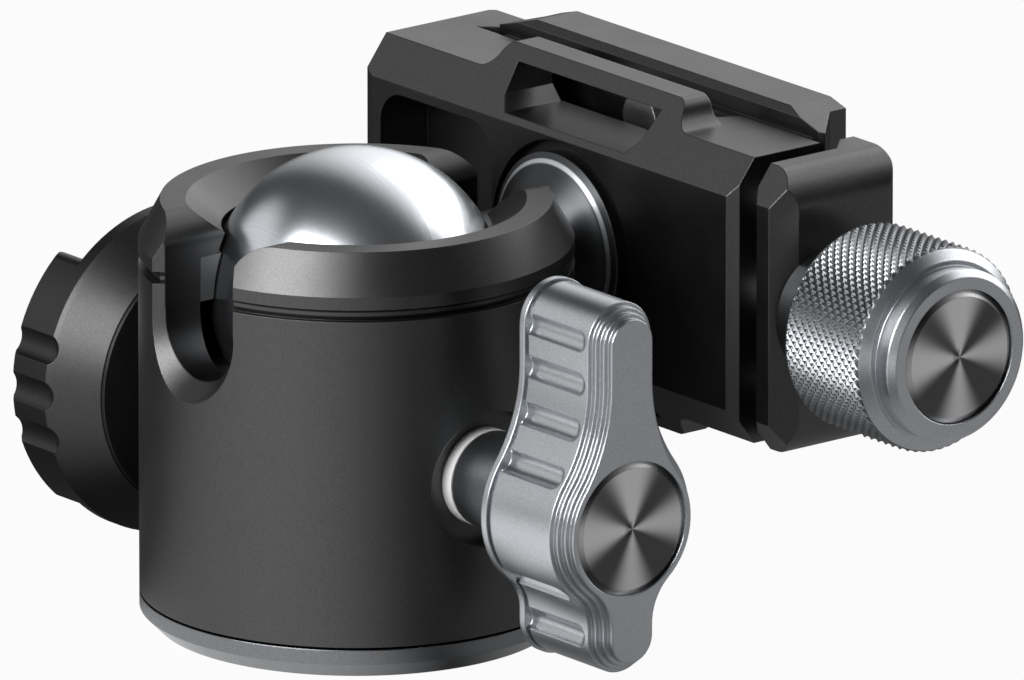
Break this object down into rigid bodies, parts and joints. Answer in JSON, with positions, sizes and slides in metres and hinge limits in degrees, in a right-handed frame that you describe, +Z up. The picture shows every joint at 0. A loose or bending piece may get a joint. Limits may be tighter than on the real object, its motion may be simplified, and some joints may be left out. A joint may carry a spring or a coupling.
{
  "type": "tripod ball head",
  "caption": "Compact tripod ball head: two-notch housing on a panning base, winged lock knob, round friction knob and a screw-knob dovetail clamp with camera plate.",
  "frame": {"origin": "centre of the base's underside, on the housing's axis", "axes": "+Z up along the panning axis; the stem lies in the +Y notch; the main lock knob is on +X and the friction knob on -X"},
  "size_m": [0.0662, 0.0546, 0.0378],
  "materials": {
    "black_anodised": "bead-blasted black anodising",
    "grey_anodised": "satin grey anodising",
    "gunmetal": "dark satin anodising",
    "ball_metal": "polished",
    "spun_metal": "circular brushed",
    "steel": "turned steel",
    "brass": "turned brass",
    "nylon": "natural nylon",
    "black_plastic": "moulded black acetal",
    "rubber": "ribbed rubber"
  },
  "bodies": {
    "base": {"base_plate": "grey_anodised", "pan_spindle": "steel"},
    "housing": {"housing": "black_anodised", "pan_retainer": "black_anodised", "pan_washer": "nylon", "retainer_screws": "steel", "upper_seat": "black_plastic", "lock_bush": "brass", "friction_bush": "brass", "lock_washer": "nylon", "friction_washer": "nylon", "lower_seat": "nylon"},
    "lock_stud": {"lock_stud": "steel"},
    "main_knob": {"wing_knob": "grey_anodised", "wing_cap": "spun_metal"},
    "friction_stud": {"friction_stud": "steel"},
    "friction_knob": {"friction_knob": "black_anodised", "friction_cap": "spun_metal"},
    "ball": {"ball": "ball_metal"},
    "head": {"stem": "gunmetal", "clamp_body": "black_anodised", "stem_screw": "steel", "guide_pins": "steel"},
    "moving_jaw": {"moving_jaw": "black_anodised", "clamp_washer": "gunmetal"},
    "clamp_knob": {"clamp_knob": "grey_anodised", "clamp_knob_cap": "spun_metal", "clamp_screw": "steel"},
    "plate": {"plate": "black_anodised", "plate_pad": "rubber", "stop_screws": "steel"},
    "camera_screw": {"camera_screw": "steel"}
  },
  "joints": [
    {"name": "pan", "type": "hinge", "parent": "base", "child": "housing", "pos_m": [0, 0, 0], "axis": [0, 0, 1], "continuous": true},
    {"name": "lock_travel", "type": "slide", "parent": "housing", "child": "lock_stud", "axis": [1, 0, 0], "range_m": [0, 0.0005]},
    {"name": "lock_turn", "type": "hinge", "parent": "lock_stud", "child": "main_knob", "pos_m": [0.02, 0, 0.0143], "axis": [1, 0, 0], "range_deg": [0, 120]},
    {"name": "friction_travel", "type": "slide", "parent": "housing", "child": "friction_stud", "axis": [-1, 0, 0], "range_m": [0, 0.0007]},
    {"name": "friction_turn", "type": "hinge", "parent": "friction_stud", "child": "friction_knob", "pos_m": [-0.02, 0, 0.0143], "axis": [-1, 0, 0], "range_deg": [0, 180]},
    {"name": "ball_tilt", "type": "hinge", "parent": "housing", "child": "ball", "pos_m": [0, 0, 0.0249], "axis": [1, 0, 0], "range_deg": [0, 180]},
    {"name": "stem_turn", "type": "hinge", "parent": "ball", "child": "head", "pos_m": [0, 0, 0.0249], "axis": [0, 1, 0], "continuous": true},
    {"name": "jaw_slide", "type": "slide", "parent": "head", "child": "moving_jaw", "axis": [1, 0, 0], "range_m": [-0.0014, 0.0007]},
    {"name": "clamp_turn", "type": "hinge", "parent": "moving_jaw", "child": "clamp_knob", "pos_m": [0.03, 0.02365, 0.0249], "axis": [1, 0, 0], "range_deg": [-720, 360]},
    {"name": "plate_slide", "type": "slide", "parent": "head", "child": "plate", "axis": [0, 0, 1], "range_m": [-0.008, 0.008]},
    {"name": "camera_screw_turn", "type": "hinge", "parent": "plate", "child": "camera_screw", "pos_m": [0, 0.036, 0.0249], "axis": [0, 1, 0], "continuous": true}
  ],
  "couplings": [
    {"joint": "lock_travel", "follows": "lock_turn", "m_per_rad": 0.00019894},
    {"joint": "friction_travel", "follows": "friction_turn", "m_per_rad": 0.00019894},
    {"joint": "jaw_slide", "follows": "clamp_turn", "m_per_rad": 0.00011141}
  ]
}
